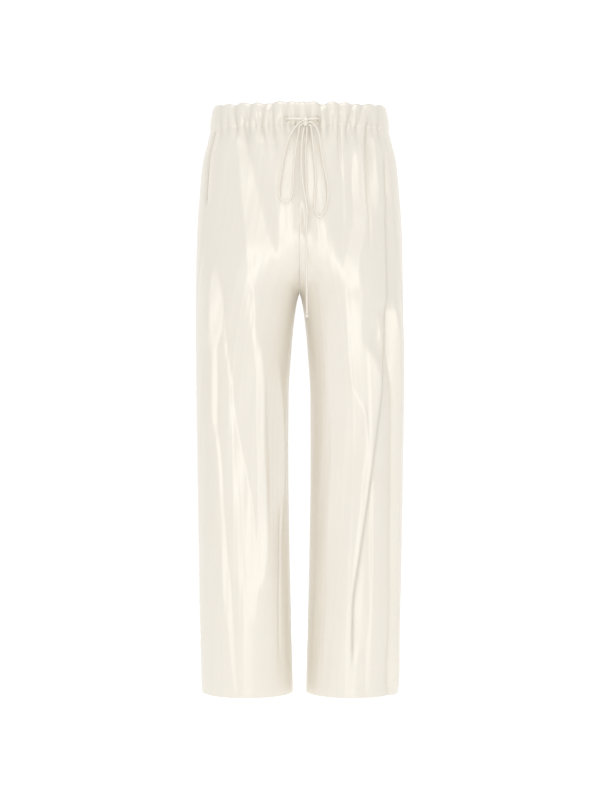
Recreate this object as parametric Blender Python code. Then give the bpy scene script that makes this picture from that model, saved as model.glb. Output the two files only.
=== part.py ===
"""Wide satin trousers with a gathered drawstring waist, filled out as when they are worn.

Metres, +Z up. The trousers face -Y, and the wearer's right leg is on -X. The origin is the
centre of the waist ring, halfway up the drawstring casing, where the wearer's waist holds them.
"""

import math
from collections import namedtuple

import bmesh
import bpy
from mathutils import Vector

CASING_TOP = 0.021
CASING_SEAM = -0.022
FORK = -0.322
HEM = -1.060

CLOTH_WALL = 0.0016
SEAM_GAP = 0.0003

GATHERS_A_PANEL = 8
COLUMNS_A_GATHER = 4
GATHER_HEIGHT = 0.0026
GATHER_LEAST = 0.85
GATHER_UNEVEN_HEIGHT = 0.3
GATHER_UNEVEN_PLACE = 0.24
GATHER_FADE_END = -0.165
TOP_EDGE_SCALLOP = 0.0018

CORD_RADIUS = 0.00175
CORD_STEP = 0.0075
CORD_LIFT_AT_CASING = 0.0052
CORD_LIFT_BELOW = 0.0022
CORD_LIFT_FADE_END = -0.17
CORD_FALL_FROM_KNOT = 0.045

KNOT_CENTRE_X = 0.0105
KNOT_CENTRE_Z = -0.0185
KNOT_HALF_SIZE = (0.0060, 0.0050, 0.0095)
KNOT_ROUNDING = 0.0026
LEAD_HEIGHT_ON_KNOT = 0.0052
END_KNOT_RADIUS = 0.0033

BUTTONHOLE_X = {"right": -0.0230, "left": 0.0335}
BUTTONHOLE_Z = -0.0125
BUTTONHOLE_HALF_HEIGHT = 0.0052
BUTTONHOLE_HALF_WIDTH = 0.0029
BUTTONHOLE_THREAD = 0.0006
BUTTONHOLE_POINTS = 16

# Level sections. outer is the side's distance from the middle, and inner is where the leg's own
# oval ends: at -outer both halves are one oval, at 0 the legs part, and above 0 there is a gap.
# front and back are the oval's half depths.
Section = namedtuple("Section", "z outer inner front back")
SECTIONS = (
    Section(z=0.024, outer=0.1565, inner=-0.1565, front=0.0935, back=0.098),
    Section(z=-0.022, outer=0.1635, inner=-0.1635, front=0.0960, back=0.102),
    Section(z=-0.046, outer=0.1690, inner=-0.1690, front=0.0980, back=0.107),
    Section(z=-0.075, outer=0.1774, inner=-0.1774, front=0.1000, back=0.113),
    Section(z=-0.104, outer=0.1820, inner=-0.1820, front=0.1015, back=0.118),
    Section(z=-0.147, outer=0.1855, inner=-0.1855, front=0.1030, back=0.124),
    Section(z=-0.200, outer=0.1895, inner=-0.1895, front=0.1045, back=0.127),
    Section(z=-0.222, outer=0.1905, inner=-0.1450, front=0.1045, back=0.1265),
    Section(z=-0.249, outer=0.1914, inner=-0.0900, front=0.1040, back=0.124),
    Section(z=-0.285, outer=0.1920, inner=-0.0380, front=0.1030, back=0.119),
    Section(z=-0.305, outer=0.1924, inner=-0.0160, front=0.1025, back=0.1165),
    Section(z=-0.322, outer=0.1927, inner=0.0000, front=0.1020, back=0.1145),
    Section(z=-0.368, outer=0.1930, inner=0.0090, front=0.1010, back=0.110),
    Section(z=-0.430, outer=0.1922, inner=0.0150, front=0.0995, back=0.1065),
    Section(z=-0.513, outer=0.1914, inner=0.0200, front=0.0975, back=0.103),
    Section(z=-0.629, outer=0.1895, inner=0.0205, front=0.0950, back=0.0985),
    Section(z=-0.803, outer=0.1867, inner=0.0185, front=0.0920, back=0.094),
    Section(z=-0.976, outer=0.1839, inner=0.0140, front=0.0900, back=0.091),
    Section(z=-1.060, outer=0.1812, inner=0.0120, front=0.0890, back=0.090),
)

# The side seam lies in front of the side by this angle, because the seat takes the wider panel.
SeamPlace = namedtuple("SeamPlace", "z ahead_deg")
SIDE_SEAM = (
    SeamPlace(z=0.024, ahead_deg=20.0),
    SeamPlace(z=-0.150, ahead_deg=23.0),
    SeamPlace(z=-0.300, ahead_deg=20.0),
    SeamPlace(z=-0.450, ahead_deg=8.0),
    SeamPlace(z=-0.600, ahead_deg=2.0),
    SeamPlace(z=-1.060, ahead_deg=0.0),
)

# The casing's wall, from its seam up. outset is how far it stands out over the leg panels.
CasingRow = namedtuple("CasingRow", "z outset wall")
CASING_ROWS = (
    CasingRow(z=-0.0217, outset=0.0006, wall=0.0026),
    CasingRow(z=-0.0160, outset=0.0018, wall=0.0036),
    CasingRow(z=-0.0020, outset=0.0022, wall=0.0040),
    CasingRow(z=0.0120, outset=0.0018, wall=0.0036),
    CasingRow(z=0.0205, outset=0.0008, wall=0.0022),
)

# Folds that run down a panel. path is (z, x) from the top of the fold to its foot, width is the
# half width of the soft ridge, and height is below 0 for a trough.
Fold = namedtuple("Fold", "panel width height path")
FOLDS = (
    Fold("front_right", 0.016, 0.0050, ((-0.030, -0.103), (-0.110, -0.093), (-0.205, -0.079))),
    Fold("front_right", 0.011, -0.0050, ((-0.085, -0.062), (-0.170, -0.052), (-0.255, -0.042))),
    Fold("front_right", 0.010, 0.0050,
         ((-0.270, -0.150), (-0.520, -0.157), (-0.700, -0.143), (-0.880, -0.131), (-1.070, -0.116))),
    Fold("front_right", 0.009, 0.0040, ((-0.420, -0.136), (-0.600, -0.117), (-0.800, -0.090))),
    Fold("front_right", 0.012, 0.0045,
         ((-0.260, -0.091), (-0.430, -0.079), (-0.650, -0.072), (-0.890, -0.084), (-1.070, -0.072))),
    Fold("front_right", 0.010, -0.0035, ((-0.520, -0.100), (-0.800, -0.112), (-1.070, -0.096))),
    Fold("front_left", 0.007, 0.0040, ((-0.030, 0.073), (-0.150, 0.080), (-0.285, 0.081))),
    Fold("front_left", 0.016, 0.0050, ((-0.070, 0.109), (-0.290, 0.098), (-0.530, 0.117))),
    Fold("front_left", 0.008, -0.0040, ((-0.025, 0.120), (-0.120, 0.125), (-0.215, 0.131))),
    Fold("front_left", 0.008, -0.0045,
         ((-0.080, 0.154), (-0.300, 0.158), (-0.520, 0.147), (-0.700, 0.122), (-0.880, 0.101),
          (-1.070, 0.089))),
    Fold("front_left", 0.009, 0.0045,
         ((-0.560, 0.131), (-0.700, 0.115), (-0.880, 0.096), (-1.070, 0.082))),
    Fold("front_left", 0.008, 0.0035, ((-0.660, 0.130), (-0.880, 0.128), (-1.070, 0.120))),
    Fold("front_left", 0.009, 0.0040, ((-0.500, 0.172), (-0.700, 0.172), (-1.070, 0.166))),
    Fold("back_right", 0.014, 0.0035, ((-0.040, -0.060), (-0.130, -0.068), (-0.235, -0.072))),
    Fold("back_right", 0.012, -0.0045, ((-0.090, -0.110), (-0.300, -0.120), (-0.560, -0.118))),
    Fold("back_right", 0.013, 0.0045, ((-0.350, -0.080), (-0.700, -0.092), (-1.070, -0.084))),
    Fold("back_right", 0.010, 0.0040, ((-0.440, -0.150), (-0.740, -0.138), (-1.070, -0.128))),
    Fold("back_right", 0.009, -0.0035, ((-0.500, -0.055), (-0.800, -0.064), (-1.070, -0.058))),
    Fold("back_left", 0.013, 0.0035, ((-0.050, 0.095), (-0.140, 0.088), (-0.240, 0.090))),
    Fold("back_left", 0.011, -0.0045, ((-0.110, 0.055), (-0.230, 0.062), (-0.400, 0.066))),
    Fold("back_left", 0.013, 0.0050, ((-0.340, 0.100), (-0.680, 0.110), (-1.070, 0.098))),
    Fold("back_left", 0.010, 0.0035, ((-0.480, 0.152), (-0.760, 0.148), (-1.070, 0.140))),
    Fold("back_left", 0.009, -0.0035, ((-0.460, 0.072), (-0.760, 0.078), (-1.070, 0.070))),
)
FOLD_EASE = 0.055
FORK_ZONE_TOP = -0.200
FORK_ZONE_EASE = 0.03
INNER_SEAM_EASE = 0.16
SIDE_SEAM_EASE = 0.08

PANEL_LEVELS = (
    -0.0223, -0.036, -0.055, -0.080, -0.110, -0.150, -0.196, -0.222, -0.246, -0.270, -0.296,
    FORK, -0.350, -0.420, -0.520, -0.640, -0.770, -0.915, HEM,
)

# Drawstring strands. start and end are a face of the knot and the height on it, or None where the
# strand ends free. route is (x, z) from the front, and layer 1 passes over what lies in layer 0.
Strand = namedtuple("Strand", "layer start end route")
STRANDS = {
    "drawstring_loop_right": Strand(0, ("right", -0.0006), ("right", -0.0056), (
        (-0.0060, -0.0262), (-0.0165, -0.0420), (-0.0245, -0.0650), (-0.0305, -0.0930),
        (-0.0350, -0.1230), (-0.0368, -0.1430), (-0.0340, -0.1570), (-0.0250, -0.1630),
        (-0.0160, -0.1575), (-0.0120, -0.1420), (-0.0110, -0.1150), (-0.0085, -0.0850),
        (-0.0050, -0.0560), (-0.0018, -0.0390), (-0.0004, -0.0300))),
    "drawstring_loop_left": Strand(0, ("left", 0.0000), ("left", -0.0054), (
        (0.0285, -0.0262), (0.0345, -0.0400), (0.0385, -0.0650), (0.0440, -0.1000),
        (0.0500, -0.1300), (0.0512, -0.1550), (0.0460, -0.1790), (0.0365, -0.1900),
        (0.0285, -0.1800), (0.0268, -0.1580), (0.0288, -0.1250), (0.0275, -0.0900),
        (0.0240, -0.0600), (0.0223, -0.0400), (0.0212, -0.0305))),
    "drawstring_end_long": Strand(0, ("bottom", 0.0026), None, (
        (0.0126, -0.0450), (0.0110, -0.0750), (0.0116, -0.1200), (0.0126, -0.1800),
        (0.0122, -0.2300), (0.0128, -0.2900), (0.0132, -0.3650))),
    "drawstring_end_short": Strand(1, ("bottom", -0.0026), None, (
        (0.0056, -0.0450), (0.0032, -0.0750), (0.0040, -0.1100), (0.0075, -0.1400),
        (0.0125, -0.1700), (0.0150, -0.1870))),
}

SATIN = {"colour": (0.86, 0.82, 0.73), "roughness": 0.32}


def clear_scene():
    for obj in list(bpy.data.objects):
        bpy.data.objects.remove(obj, do_unlink=True)


def material(name, colour, roughness):
    made = bpy.data.materials.new(name)
    made.use_nodes = True
    shader = made.node_tree.nodes["Principled BSDF"]
    shader.inputs["Base Color"].default_value = (*colour, 1.0)
    shader.inputs["Roughness"].default_value = roughness
    shader.inputs["Metallic"].default_value = 0.0
    return made


def smooth_through(places, at):
    """The value at `at` on a smooth curve through (place, value) pairs, with no overshoot."""
    pairs = sorted(places)
    if at <= pairs[0][0]:
        return pairs[0][1]
    if at >= pairs[-1][0]:
        return pairs[-1][1]
    slopes = [(b[1] - a[1]) / (b[0] - a[0]) for a, b in zip(pairs, pairs[1:])]
    tangents = [slopes[0]]
    for before, after in zip(slopes, slopes[1:]):
        rising_together = before * after > 0
        tangents.append(2 * before * after / (before + after) if rising_together else 0.0)
    tangents.append(slopes[-1])
    span = max(i for i, pair in enumerate(pairs[:-1]) if pair[0] <= at)
    (start, low), (end, high) = pairs[span], pairs[span + 1]
    width = end - start
    t = (at - start) / width
    return (
        low * (1 + 2 * t) * (1 - t) ** 2
        + high * t * t * (3 - 2 * t)
        + tangents[span] * width * t * (1 - t) ** 2
        - tangents[span + 1] * width * t * t * (1 - t)
    )


def ease(value):
    """0 below 0, 1 above 1, and a smooth step between."""
    t = min(max(value, 0.0), 1.0)
    return t * t * (3 - 2 * t)


def section_at(z):
    columns = {
        name: smooth_through([(row.z, getattr(row, name)) for row in SECTIONS], z)
        for name in ("outer", "inner", "front", "back")
    }
    return Section(z=z, **columns)


def oval_frame(side, z, angle):
    """A point of the plain leg oval and its outward direction. Angle 0 is the side of the hip,
    a quarter turn is the front, half a turn is the inseam, and the back's angles are negative."""
    row = section_at(z)
    half_width = (row.outer - row.inner) / 2
    middle = (row.outer + row.inner) / 2
    depth = row.front if angle > 0 else row.back
    point = Vector((side * (middle + half_width * math.cos(angle)), -depth * math.sin(angle), z))
    outward = Vector((side * math.cos(angle) / half_width, -math.sin(angle) / depth, 0.0))
    return point, outward.normalized()


def seam_angles(z):
    """The angles of the inner seam and of the side seam, on the oval at this level."""
    row = section_at(z)
    half_width = (row.outer - row.inner) / 2
    middle = (row.outer + row.inner) / 2
    cosine = (SEAM_GAP / 2 - middle) / half_width
    last = math.pi - SEAM_GAP / (row.front + row.back)
    inner = min(math.acos(max(cosine, -1.0)), last)
    side = math.radians(smooth_through([(place.z, place.ahead_deg) for place in SIDE_SEAM], z))
    return inner, side


def panel_angle(half, z, across):
    """across runs from 0 at the inner seam to 1 at the side seam."""
    inner, side = seam_angles(z)
    row = section_at(z)
    near_side = math.hypot(
        (row.outer - row.inner) / 2 * math.sin(side), row.front * math.cos(side)
    )
    gap = SEAM_GAP / 2 / near_side
    if half == "front":
        return inner + (side + gap - inner) * across
    return -inner + (side - gap + inner) * across


def gather_edges(panel):
    """Where each gather of a panel starts, from 0 at the inner seam to 1 at the side seam."""
    phase = {"front_right": 0.4, "front_left": 2.1, "back_right": 3.3, "back_left": 5.2}[panel]
    edges = [
        (i + GATHER_UNEVEN_PLACE * math.sin(2.4 * i + phase)) / GATHERS_A_PANEL
        for i in range(GATHERS_A_PANEL)
    ]
    edges[0] = 0.0
    return edges + [1.0]


def panel_columns(panel):
    """(place across, share of a full gather) for each column of points."""
    edges = gather_edges(panel)
    columns = []
    for index, (start, end) in enumerate(zip(edges, edges[1:])):
        for step in range(COLUMNS_A_GATHER):
            turn = step / COLUMNS_A_GATHER
            uneven = GATHER_UNEVEN_HEIGHT * math.sin(1.9 * index + 1.0)
            deep = GATHER_LEAST + uneven * math.sin(math.pi * turn) ** 2
            columns.append((start + (end - start) * turn, deep * math.cos(2 * math.pi * turn)))
    columns.append((1.0, GATHER_LEAST))
    return columns


def fold_height(panel, x, z):
    height = 0.0
    for fold in FOLDS:
        top, foot = fold.path[0][0], fold.path[-1][0]
        if fold.panel != panel or not foot < z < top:
            continue
        middle = smooth_through(fold.path, z)
        fade = ease((top - z) / FOLD_EASE) * ease((z - foot) / FOLD_EASE)
        if foot < HEM:
            fade = ease((top - z) / FOLD_EASE)
        height += fold.height * fade * math.exp(-(((x - middle) / fold.width) ** 2))
    return height


def cloth_point(panel, across, gather, z, inward=0.0):
    """A point of a leg panel, moved in along the oval's own direction by `inward`."""
    half, side_name = panel.split("_")
    side = -1 if side_name == "right" else 1
    point, outward = oval_frame(side, z, panel_angle(half, z, across))
    flat_at_fork = ease((FORK_ZONE_TOP - z) / FORK_ZONE_EASE) * (1 - ease(across / INNER_SEAM_EASE))
    flat_at_side = 1 - ease((1 - across) / SIDE_SEAM_EASE)
    fold = fold_height(panel, point.x, z) * (1 - flat_at_fork) * (1 - flat_at_side)
    gather_fade = ease((z - GATHER_FADE_END) / (CASING_SEAM - GATHER_FADE_END))
    return point + outward * (fold + GATHER_HEIGHT * gather * gather_fade - inward)


def wall_body(name, outer, inner, finish):
    """One closed body between two grids of points, each a list of rows."""
    mesh = bmesh.new()
    grids = [[[mesh.verts.new(point) for point in row] for row in grid] for grid in (outer, inner)]
    rows = len(outer)
    columns = len(outer[0])
    for grid, turned in zip(grids, (False, True)):
        for r in range(rows - 1):
            for c in range(columns - 1):
                corners = [grid[r][c], grid[r + 1][c], grid[r + 1][c + 1], grid[r][c + 1]]
                mesh.faces.new(reversed(corners) if turned else corners)
    out, back = grids
    rim = [(0, c) for c in range(columns)]
    rim += [(r, columns - 1) for r in range(1, rows)]
    rim += [(rows - 1, c) for c in range(columns - 2, -1, -1)]
    rim += [(r, 0) for r in range(rows - 2, 0, -1)]
    for (r1, c1), (r2, c2) in zip(rim, rim[1:] + rim[:1]):
        mesh.faces.new([out[r1][c1], out[r2][c2], back[r2][c2], back[r1][c1]])
    bmesh.ops.recalc_face_normals(mesh, faces=mesh.faces)
    return finished(name, mesh, finish)


def finished(name, mesh, finish):
    data = bpy.data.meshes.new(name)
    mesh.to_mesh(data)
    mesh.free()
    data.shade_smooth()
    data.set_sharp_from_angle(angle=math.radians(50))
    data.materials.append(finish)
    obj = bpy.data.objects.new(name, data)
    bpy.context.collection.objects.link(obj)
    return obj


def make_panel(panel):
    columns = panel_columns(panel)
    outer, inner = (
        [
            [cloth_point(panel, across, gather, z, inward) for across, gather in columns]
            for z in PANEL_LEVELS
        ]
        for inward in (0.0, CLOTH_WALL)
    )
    wall_body(panel, outer, inner, material(panel + "_satin", **SATIN))


def casing_point(panel, across, gather, row, inward):
    point = cloth_point(panel, across, gather, row.z, inward - row.outset)
    if row is CASING_ROWS[-1]:
        point.z += TOP_EDGE_SCALLOP * gather
    return point


def casing_columns(half):
    """The gathered columns of half the waist, from the right side seam to the left one."""
    right = [(half + "_right", *column) for column in reversed(panel_columns(half + "_right"))]
    left = [(half + "_left", *column) for column in panel_columns(half + "_left")]
    return right[:-1] + left


def make_casing(half):
    columns = casing_columns(half)
    outer = [[casing_point(*column, row, 0.0) for column in columns] for row in CASING_ROWS]
    inner = [[casing_point(*column, row, row.wall) for column in columns] for row in CASING_ROWS]
    name = "waistband_" + half
    wall_body(name, outer, inner, material(name + "_satin", **SATIN))


def front_depth(x, z):
    """How far the plain front stands out from the middle plane at this place."""
    row = section_at(z)
    half_width = (row.outer - row.inner) / 2
    middle = (row.outer + row.inner) / 2
    return row.front * math.sqrt(max(1 - ((abs(x) - middle) / half_width) ** 2, 0.0))


def casing_face(x, reach):
    """The Y of the casing's outermost point within this reach of x."""
    found = []
    for row in CASING_ROWS:
        line = [casing_point(*column, row, 0.0) for column in casing_columns("front")]
        for a, b in zip(line, line[1:]):
            low, high = max(a.x, x - reach), min(b.x, x + reach)
            if low < high:
                found += [a.y + (b.y - a.y) * (place - a.x) / (b.x - a.x) for place in (low, high)]
    return min(found)


def rest_face(x, z):
    """The Y of a cord's middle where it hangs against the front, or free below the seat."""
    lift = CORD_LIFT_BELOW + (CORD_LIFT_AT_CASING - CORD_LIFT_BELOW) * ease(
        (z - CORD_LIFT_FADE_END) / (CASING_SEAM - CORD_LIFT_FADE_END)
    )
    return -(front_depth(x, max(z, FORK_ZONE_TOP)) + lift + CORD_RADIUS)


def knot_centre():
    y = casing_face(KNOT_CENTRE_X, KNOT_HALF_SIZE[0]) - KNOT_HALF_SIZE[1] - SEAM_GAP
    return Vector((KNOT_CENTRE_X, y, KNOT_CENTRE_Z))


def knot_exit(face, place):
    """The two points on which a strand leaves a face of the knot squarely."""
    along = {"right": Vector((-1, 0, 0)), "left": Vector((1, 0, 0)), "bottom": Vector((0, 0, -1))}[face]
    across = Vector((0, 0, 1)) if face != "bottom" else Vector((1, 0, 0))
    half = KNOT_HALF_SIZE[2] if face == "bottom" else KNOT_HALF_SIZE[0]
    start = knot_centre() + along * (half + SEAM_GAP) + across * place
    return [start, start + along * 1.5 * CORD_RADIUS]


def on_curve(corners, share):
    """A point between the middle two of four corners, on a centripetal Catmull-Rom curve."""
    knots = [0.0]
    for a, b in zip(corners, corners[1:]):
        knots.append(knots[-1] + math.sqrt((b - a).length))
    at = knots[1] + (knots[2] - knots[1]) * share
    level = list(corners)
    for spans in (((0, 1), (1, 2), (2, 3)), ((0, 2), (1, 3)), ((1, 2),)):
        level = [
            a + (b - a) * ((at - knots[low]) / (knots[high] - knots[low]))
            for a, b, (low, high) in zip(level, level[1:], spans)
        ]
    return level[0]


def smooth_route(points, step):
    """Points about `step` apart on a smooth curve through these points, which it keeps."""
    ends = [points[0] * 2 - points[1]] + points + [points[-1] * 2 - points[-2]]
    route = []
    for corners in zip(ends, ends[1:], ends[2:], ends[3:]):
        count = max(round((corners[2] - corners[1]).length / step), 1)
        route += [on_curve(corners, i / count) for i in range(count)]
    return route + [points[-1]]


def tube(name, route, radius, finish, closed=False, resolution=2):
    curve = bpy.data.curves.new(name, "CURVE")
    curve.dimensions = "3D"
    curve.bevel_depth = radius
    curve.bevel_resolution = resolution
    curve.use_fill_caps = not closed
    curve.materials.append(finish)
    spline = curve.splines.new("POLY")
    spline.points.add(len(route) - 1)
    for point, place in zip(spline.points, route):
        point.co = (*place, 1.0)
    spline.use_cyclic_u = closed
    spline.use_smooth = True
    obj = bpy.data.objects.new(name, curve)
    bpy.context.collection.objects.link(obj)
    return obj


def strand_points(strand):
    """The strand's route in space: it leaves the knot level with it, then lies on the front."""
    level = knot_centre().y
    points = knot_exit(*strand.start)
    for x, z in strand.route:
        over = 2 * strand.layer * (CORD_RADIUS + SEAM_GAP)
        away = ease((KNOT_CENTRE_Z - KNOT_ROUNDING - z) / CORD_FALL_FROM_KNOT)
        points.append(Vector((x, level + (rest_face(x, z) - over - level) * away, z)))
    if strand.end:
        points += reversed(knot_exit(*strand.end))
    return points


def make_strands():
    for name, strand in STRANDS.items():
        route = smooth_route(strand_points(strand), CORD_STEP)
        tube(name, route, CORD_RADIUS, material(name + "_satin", **SATIN))


def make_leads():
    """Each lead comes out of its buttonhole and turns towards the knot."""
    for side, x in BUTTONHOLE_X.items():
        arrival = list(reversed(knot_exit(side, LEAD_HEIGHT_ON_KNOT)))
        toward = 1 if side == "right" else -1
        mouth = Vector((x, casing_face(x, CORD_RADIUS) - SEAM_GAP, BUTTONHOLE_Z))
        out = Vector((x, (mouth.y + arrival[0].y) / 2, BUTTONHOLE_Z))
        turn = Vector((x + toward * 2 * CORD_RADIUS, arrival[0].y, BUTTONHOLE_Z))
        route = smooth_route([mouth, out, turn] + arrival, CORD_STEP / 2)
        name = "drawstring_lead_" + side
        tube(name, route, CORD_RADIUS, material(name + "_satin", **SATIN))


def make_knot():
    """A rounded lump with flat faces where the strands go in."""
    mesh = bmesh.new()
    bmesh.ops.create_cube(mesh, size=2.0)
    bmesh.ops.scale(mesh, vec=KNOT_HALF_SIZE, verts=mesh.verts)
    bmesh.ops.bevel(mesh, geom=mesh.edges[:], offset=KNOT_ROUNDING, affect="EDGES", segments=3,
                    profile=0.5, material=-1)
    bmesh.ops.translate(mesh, verts=mesh.verts, vec=knot_centre())
    finished("drawstring_knot", mesh, material("drawstring_knot_satin", **SATIN))


def make_end_knot():
    """The small knot that stops the long end from slipping back."""
    last = strand_points(STRANDS["drawstring_end_long"])[-1]
    centre = last - Vector((0.0, 0.0, END_KNOT_RADIUS + SEAM_GAP))
    mesh = bmesh.new()
    bmesh.ops.create_uvsphere(mesh, u_segments=10, v_segments=7, radius=END_KNOT_RADIUS)
    bmesh.ops.translate(mesh, verts=mesh.verts, vec=centre)
    finished("drawstring_end_knot", mesh, material("end_knot_satin", **SATIN))


def make_buttonholes():
    """A slim upright ring of worked thread round each place where the drawstring comes out."""
    straight = BUTTONHOLE_HALF_HEIGHT - BUTTONHOLE_HALF_WIDTH
    for side, x in BUTTONHOLE_X.items():
        reach = BUTTONHOLE_HALF_WIDTH + BUTTONHOLE_THREAD
        y = casing_face(x, reach) - BUTTONHOLE_THREAD - SEAM_GAP
        route = []
        for i in range(BUTTONHOLE_POINTS):
            angle = 2 * math.pi * (i + 0.5) / BUTTONHOLE_POINTS
            shift = straight if math.sin(angle) > 0 else -straight
            route.append(Vector((
                x + BUTTONHOLE_HALF_WIDTH * math.cos(angle), y,
                BUTTONHOLE_Z + shift + BUTTONHOLE_HALF_WIDTH * math.sin(angle))))
        name = "buttonhole_" + side
        tube(name, route, BUTTONHOLE_THREAD, material(name + "_thread", **SATIN), True, 1)


def main():
    clear_scene()
    for panel in ("front_right", "front_left", "back_right", "back_left"):
        make_panel(panel)
    for half in ("front", "back"):
        make_casing(half)
    make_buttonholes()
    make_leads()
    make_knot()
    make_strands()
    make_end_knot()


main()
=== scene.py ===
import math
from collections import namedtuple

import bmesh
import bpy
import numpy as np
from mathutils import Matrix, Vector


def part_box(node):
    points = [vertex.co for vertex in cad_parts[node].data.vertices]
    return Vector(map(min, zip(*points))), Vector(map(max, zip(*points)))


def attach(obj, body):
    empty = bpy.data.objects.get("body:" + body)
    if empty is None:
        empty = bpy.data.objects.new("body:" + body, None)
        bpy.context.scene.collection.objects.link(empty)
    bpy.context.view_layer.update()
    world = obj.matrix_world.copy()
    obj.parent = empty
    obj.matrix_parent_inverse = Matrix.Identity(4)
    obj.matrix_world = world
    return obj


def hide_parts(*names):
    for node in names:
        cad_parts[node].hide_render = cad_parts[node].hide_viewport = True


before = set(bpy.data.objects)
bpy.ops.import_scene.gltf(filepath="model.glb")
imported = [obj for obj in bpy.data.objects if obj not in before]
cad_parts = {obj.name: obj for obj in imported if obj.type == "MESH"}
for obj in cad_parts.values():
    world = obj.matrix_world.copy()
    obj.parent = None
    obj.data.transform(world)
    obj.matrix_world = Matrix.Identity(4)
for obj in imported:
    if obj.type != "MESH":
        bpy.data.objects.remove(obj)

bl_info = {
    "name": "Drawstring satin trousers",
    "version": (1, 0, 0),
    "blender": (4, 5, 0),
    "location": "3D View > Sidebar > Trousers",
    "description": "Makes the satin, the gathers, the folds and the tied drawstring of a pair of trousers",
    "category": "Mesh",
}

BODY = "root"
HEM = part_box("front_left")[0].z
CASING_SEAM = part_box("front_left")[1].z


def in_metres(value):
    """A number of millimetres, or nested rows of them, in metres."""
    if isinstance(value, tuple):
        return tuple(in_metres(part) for part in value)
    return value / 1000


def middle_and_half(node):
    """The middle of a node's box, and half of its size."""
    low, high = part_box(node)
    return (low + high) / 2, (high - low) / 2


# Level sections of the trousers, in millimetres: outer is the side's distance from the middle, inner is
# where the leg's own oval ends (below 0 both halves are one oval), and front and back are half depths.
Section = namedtuple("Section", "z outer inner front back")
SECTIONS = tuple(Section(*in_metres(row)) for row in (
    (24, 156.5, -156.5, 93.5, 98),
    (-22, 163.5, -163.5, 96, 102),
    (-46, 169, -169, 98, 107),
    (-75, 177.4, -177.4, 100, 113),
    (-104, 182, -182, 101.5, 118),
    (-147, 185.5, -185.5, 103, 124),
    (-200, 189.5, -189.5, 104.5, 127),
    (-222, 190.5, -145, 104.5, 126.5),
    (-249, 191.4, -90, 104, 124),
    (-285, 192, -38, 103, 119),
    (-305, 192.4, -16, 102.5, 116.5),
    (-322, 192.7, 0, 102, 114.5),
    (-368, 193, 9, 101, 110),
    (-430, 192.2, 15, 99.5, 106.5),
    (-513, 191.4, 20, 97.5, 103),
    (-629, 189.5, 20.5, 95, 98.5),
    (-803, 186.7, 18.5, 92, 94),
    (-976, 183.9, 14, 90, 91),
    (-1060, 181.2, 12, 89, 90),
))

# The side seam lies in front of the side by this angle.
SeamPlace = namedtuple("SeamPlace", "z ahead_deg")
SIDE_SEAM = (
    SeamPlace(0.024, 20), SeamPlace(-0.150, 23), SeamPlace(-0.300, 20), SeamPlace(-0.450, 8),
    SeamPlace(-0.600, 2), SeamPlace(-1.060, 0),
)

# Creases of the gathers, in millimetres. Each is deepest at the casing's seam, where the drawstring
# pulls the cloth together. x is its place there. It runs up to top and down to foot, where it reaches
# x + lean_up and x + lean_down.
Crease = namedtuple("Crease", "x depth width top lean_up foot lean_down")
FRONT_CREASES = tuple(Crease(*in_metres(row)) for row in (
    (-144, 3, 4.2, 23, 2, -70, -6),
    (-131, 2.6, 3.6, 12, 3, -54, -3),
    (-115, 4.4, 4.2, 23, -3, -62, -2),
    (-102, 3.4, 3.6, 15, 4, -125, 18),
    (-93, 4.2, 4.4, 23, 5, -76, 4),
    (-80, 3, 3.4, 9, -3, -56, 2),
    (-69, 4.6, 4, 23, 4, -98, 11),
    (-56, 3, 3.2, 13, 3, -60, -2),
    (-48, 4.2, 4, 23, -2, -112, 8),
    (-37, 2.6, 3, 8, 3, -50, 1),
    (-27, 3.6, 3.8, 23, 3, -86, 3),
    (-15, 2.6, 3.2, 16, -3, -56, -2),
    (-6, 3.4, 3.6, 23, 2, -72, 1),
    (18, 3.6, 3.8, 23, -4, -74, 2),
    (27, 2.4, 3, 9, 2, -50, 2),
    (35, 4, 3.6, 23, 3, -92, 6),
    (52, 4.6, 4, 23, -6, -82, 1),
    (61, 2.8, 3.2, 12, 5, -56, 1),
    (71, 4, 3.6, 23, 2, -168, 6),
    (86, 4.4, 4, 23, 11, -100, 4),
    (95, 2.6, 3.2, 10, -4, -56, 2),
    (104, 4, 4.2, 23, 12, -84, 2),
    (123, 4.4, 4.4, 18, 6, -190, 8),
    (133, 2.8, 3.4, 12, -3, -60, 3),
    (144, 3.4, 4.2, 23, -2, -90, 8),
))
BACK_CREASES_A_HALF = 13
CREASE_SHARE = 1.27

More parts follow.
